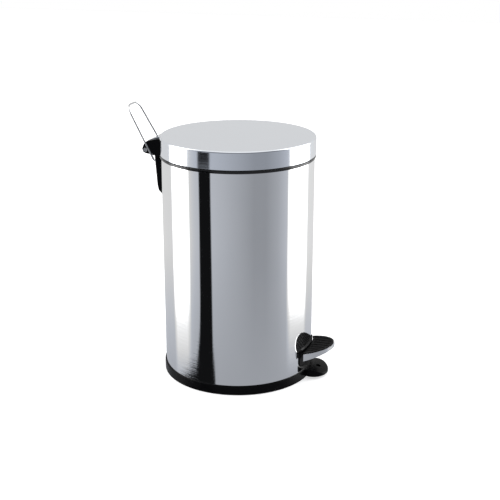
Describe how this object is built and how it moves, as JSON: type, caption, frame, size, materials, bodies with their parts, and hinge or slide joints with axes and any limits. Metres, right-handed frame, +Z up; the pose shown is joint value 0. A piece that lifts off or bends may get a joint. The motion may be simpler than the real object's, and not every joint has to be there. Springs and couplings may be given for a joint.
{
  "type": "pedal bin",
  "caption": "Round polished steel pedal bin with a flat hinged lid, black base and foot, ribbed pedal, push rod, rear wire handle and lift-out bucket.",
  "frame": {"origin": "centre of the underside on the body's axis, on the floor", "axes": "+Z up; -Y is the front, where the pedal is; +Y is the rear, where the hinge and handle are; +X to the right seen from the front"},
  "size_m": [0.254, 0.3534, 0.4467],
  "materials": {
    "polished_steel": "mirror polished stainless steel",
    "lid_steel": "satin to polished stainless steel",
    "zinc_steel": "zinc plated pressed steel",
    "chrome_wire": "bright chrome",
    "black_plastic": "moulded, low gloss",
    "black_ring": "glossy bead",
    "pad_plastic": "moulded, ribbed",
    "rubber": "soft rubber",
    "bucket_plastic": "moulded polypropylene",
    "nylon": "natural nylon"
  },
  "bodies": {
    "bin": {"body_shell": "polished_steel", "base": "black_plastic", "non_slip_ring": "rubber", "slot_frame": "black_plastic", "top_ring": "black_ring", "hinge_bracket": "black_plastic", "hinge_screws": "zinc_steel", "hinge_pin": "chrome_wire", "hinge_pin_caps": "chrome_wire", "pivot_bracket": "zinc_steel", "bracket_screws": "zinc_steel", "lever_pin": "zinc_steel", "lever_pin_clips": "zinc_steel"},
    "lid": {"lid_shell": "lid_steel", "lid_strap": "zinc_steel", "lid_bumpers": "rubber"},
    "rod": {"push_rod": "zinc_steel", "rod_foot": "nylon", "rod_clip": "zinc_steel"},
    "pedal": {"pedal_lever": "zinc_steel", "lever_bushes": "nylon", "pedal_tray": "polished_steel", "pedal_pad": "pad_plastic", "pedal_rivets": "zinc_steel"},
    "handle": {"handle_wire": "chrome_wire"},
    "bucket": {"bucket": "bucket_plastic"},
    "bail": {"bucket_bail": "chrome_wire", "bail_grip": "bucket_plastic"}
  },
  "joints": [
    {"name": "lid_hinge", "type": "hinge", "parent": "bin", "child": "lid", "pos_m": [0, 0.1535, 0.3735], "axis": [-1, 0, 0], "range_deg": [0, 56]},
    {"name": "rod_hook", "type": "hinge", "parent": "lid", "child": "rod", "pos_m": [0, 0.11818, 0.35472], "axis": [-1, 0, 0], "range_deg": [-56, 0]},
    {"name": "pedal_press", "type": "hinge", "parent": "bin", "child": "pedal", "pos_m": [0, -0.06, 0.04], "axis": [1, 0, 0], "range_deg": [0, 12]},
    {"name": "handle_swing", "type": "hinge", "parent": "bin", "child": "handle", "pos_m": [0, 0.1355, 0.358], "axis": [-1, 0, 0], "range_deg": [0, 150]},
    {"name": "bucket_lift", "type": "slide", "parent": "bin", "child": "bucket", "axis": [0, 0, 1], "range_m": [0, 0.01]},
    {"name": "bail_swing", "type": "hinge", "parent": "bucket", "child": "bail", "pos_m": [0, 0, 0.375], "axis": [-1, 0, 0], "range_deg": [0, 5]}
  ],
  "couplings": [
    {"joint": "rod_hook", "follows": "lid_hinge", "ratio": -1},
    {"joint": "pedal_press", "follows": "lid_hinge", "ratio": 0.212}
  ]
}
